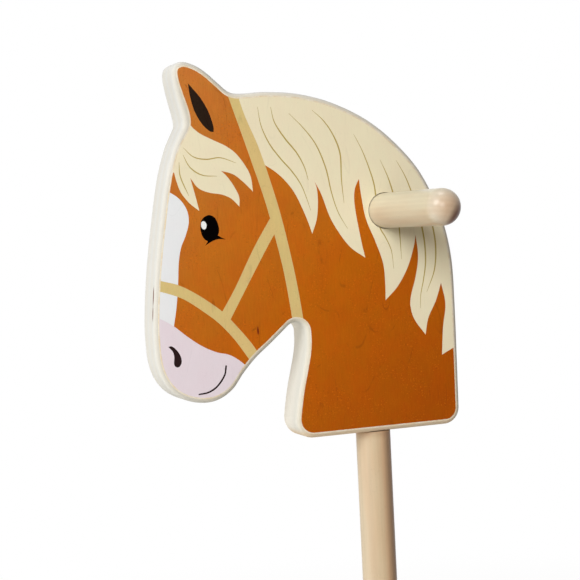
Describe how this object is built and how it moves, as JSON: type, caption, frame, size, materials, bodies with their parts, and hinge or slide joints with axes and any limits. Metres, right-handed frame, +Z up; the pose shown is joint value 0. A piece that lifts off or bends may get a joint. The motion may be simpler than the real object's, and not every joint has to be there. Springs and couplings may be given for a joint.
{
  "type": "hobby horse",
  "caption": "Wooden hobby horse: a flat printed plywood horse's head on a round stick, with a round handle bar through the neck and a rubber foot.",
  "frame": {"origin": "centre of the rubber foot's flat underside, on the stick's axis", "axes": "+Z up along the stick, -X towards the horse's nose, the head board lies in the XZ plane and the handle bar along Y"},
  "size_m": [0.2011, 0.203, 0.8008],
  "materials": {
    "printed_plywood": "satin clear-coated print with a pale sanded plywood edge",
    "handle_wood": "sanded clear-coated beech",
    "stick_wood": "sanded bare beech",
    "insert_metal": "plain machined",
    "bolt_steel": "zinc plated",
    "foot_rubber": "matte moulded rubber"
  },
  "bodies": {
    "root": {"head_board": "printed_plywood", "handle_bar": "handle_wood", "stick": "stick_wood", "threaded_insert": "insert_metal", "hanger_bolt": "bolt_steel", "rubber_foot": "foot_rubber"}
  },
  "joints": []
}
